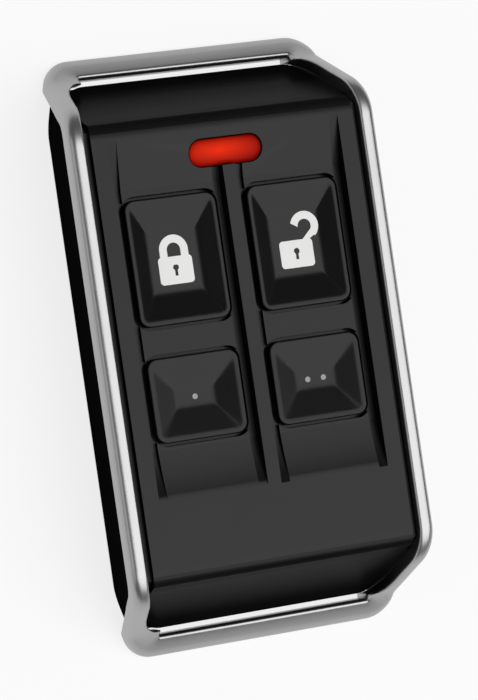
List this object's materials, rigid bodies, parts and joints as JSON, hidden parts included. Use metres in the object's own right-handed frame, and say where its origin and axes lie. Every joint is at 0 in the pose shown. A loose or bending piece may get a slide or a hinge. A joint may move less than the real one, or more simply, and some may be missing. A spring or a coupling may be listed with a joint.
{
  "type": "alarm key fob",
  "caption": "Slim black remote key fob for an alarm, with sloped ends, a satin trim frame with cord slots, sprung dished padlock and dot keys in finger channels, and a red signal lens.",
  "frame": {"origin": "middle of the back face, which the fob rests on", "axes": "+Z out of the key face, +Y along the length towards the light, +X to the right as the keys are read"},
  "size_m": [0.0344, 0.065, 0.0127],
  "materials": {
    "trim_silver": "satin silver",
    "case_black": "fine-textured satin black",
    "key_black": "satin black",
    "mark_white": "printed white",
    "lens_red": "clear red",
    "screw_steel": "zinc plated",
    "carbon": "conductive black",
    "keypad_rubber": "soft grey",
    "board_green": "solder mask",
    "plated_gold": "gold plated",
    "emitter_white": "clear",
    "chip_black": "moulded",
    "can_steel": "nickel plated",
    "cell_filling": "nickel plated",
    "seal_grey": "moulded",
    "chip_ceramic": "ceramic",
    "contact_spring": "tin plated"
  },
  "bodies": {
    "case": {"trim_frame": "trim_silver", "front_cover": "case_black", "rear_cover": "case_black", "case_screw": "screw_steel", "led_lens": "lens_red", "keypad_mat": "keypad_rubber", "lock_dome": "keypad_rubber", "unlock_dome": "keypad_rubber", "one_dot_dome": "keypad_rubber", "two_dot_dome": "keypad_rubber", "circuit_board": "board_green", "contact_pads": "plated_gold", "indicator_led": "emitter_white", "controller_chip": "chip_black", "radio_chip": "chip_black", "crystal_can": "can_steel", "small_chips": "chip_ceramic", "antenna_track": "plated_gold", "cell_can": "can_steel", "cell_cap": "cell_filling", "cell_seal": "seal_grey", "positive_clip": "contact_spring", "negative_contact": "contact_spring"},
    "lock_button": {"lock_key": "key_black", "lock_symbol": "mark_white", "lock_pill": "carbon"},
    "unlock_button": {"unlock_key": "key_black", "unlock_symbol": "mark_white", "unlock_pill": "carbon"},
    "one_dot_button": {"one_dot_key": "key_black", "one_dot_mark": "mark_white", "one_dot_pill": "carbon"},
    "two_dot_button": {"two_dot_key": "key_black", "two_dot_marks": "mark_white", "two_dot_pill": "carbon"}
  },
  "joints": [
    {"name": "lock_press", "type": "slide", "parent": "case", "child": "lock_button", "axis": [0, 0, -1], "range_m": [0, 0.00075], "stiffness_N_per_m": 2000, "springref_m": -0.0001, "deforming": ["lock_dome"]},
    {"name": "unlock_press", "type": "slide", "parent": "case", "child": "unlock_button", "axis": [0, 0, -1], "range_m": [0, 0.00075], "stiffness_N_per_m": 2000, "springref_m": -0.0001, "deforming": ["unlock_dome"]},
    {"name": "one_dot_press", "type": "slide", "parent": "case", "child": "one_dot_button", "axis": [0, 0, -1], "range_m": [0, 0.00075], "stiffness_N_per_m": 2000, "springref_m": -0.0001, "deforming": ["one_dot_dome"]},
    {"name": "two_dot_press", "type": "slide", "parent": "case", "child": "two_dot_button", "axis": [0, 0, -1], "range_m": [0, 0.00075], "stiffness_N_per_m": 2000, "springref_m": -0.0001, "deforming": ["two_dot_dome"]}
  ]
}
